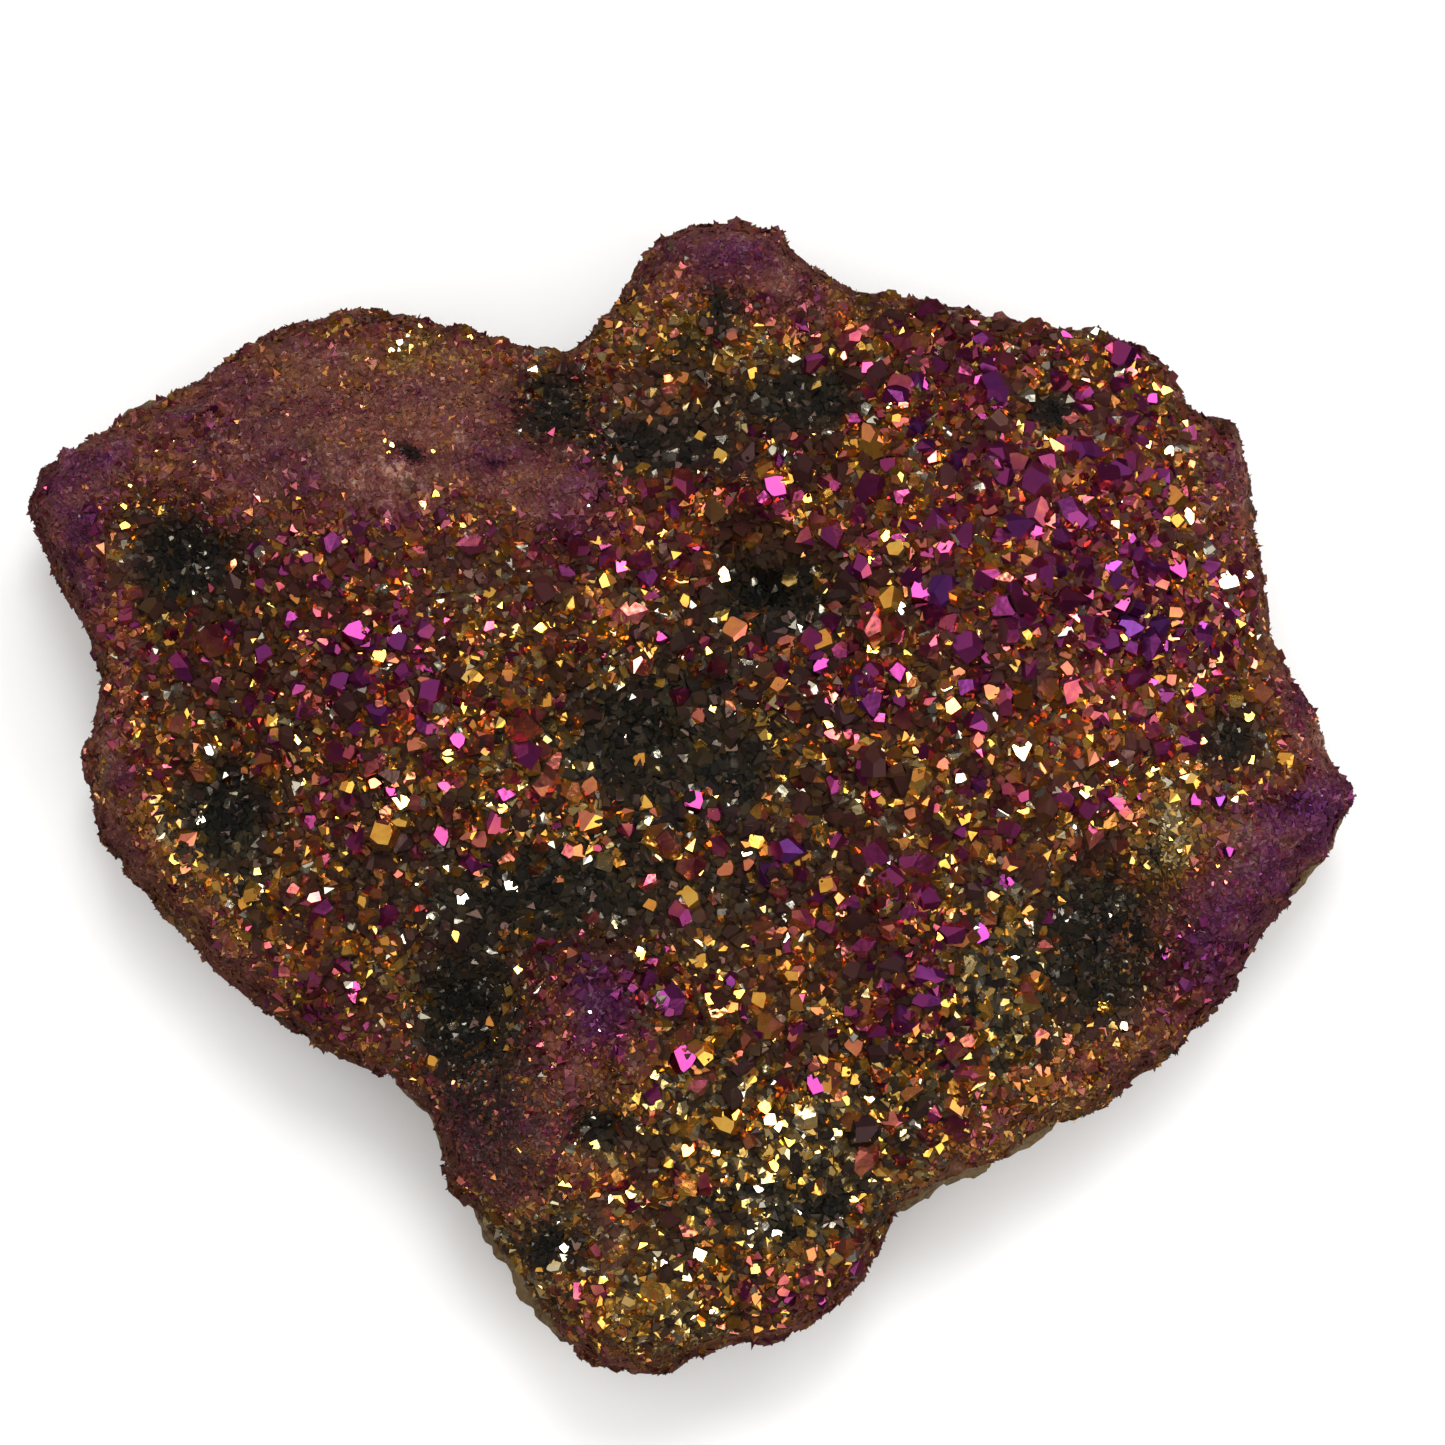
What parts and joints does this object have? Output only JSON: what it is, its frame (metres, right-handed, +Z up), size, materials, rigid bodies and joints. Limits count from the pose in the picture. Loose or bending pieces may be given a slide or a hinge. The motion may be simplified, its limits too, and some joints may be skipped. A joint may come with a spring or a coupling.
{
  "type": "druzy geode plate",
  "caption": "Lumpy slab of host rock, cut flat underneath, under an unbroken crust of small metal-coated pointed crystals.",
  "frame": {"origin": "middle of the bounding box, on the flat foot that the plate rests on", "axes": "+Z up, out of the crystal face; +X along the plate's long side, towards its pointed end; +Y towards the knob on the far edge"},
  "size_m": [0.0724, 0.0626, 0.0208],
  "materials": {
    "host_rock": "dull, rough, tan to grey-olive broken rock with a darker grain",
    "crystal_crust": "small glossy crystal faces under a thin metal coating: violet and magenta on the crests, copper and gold on the slopes, near black in the pits"
  },
  "bodies": {
    "root": {"host_rock": "host_rock", "crystal_crust": "crystal_crust"}
  },
  "joints": []
}
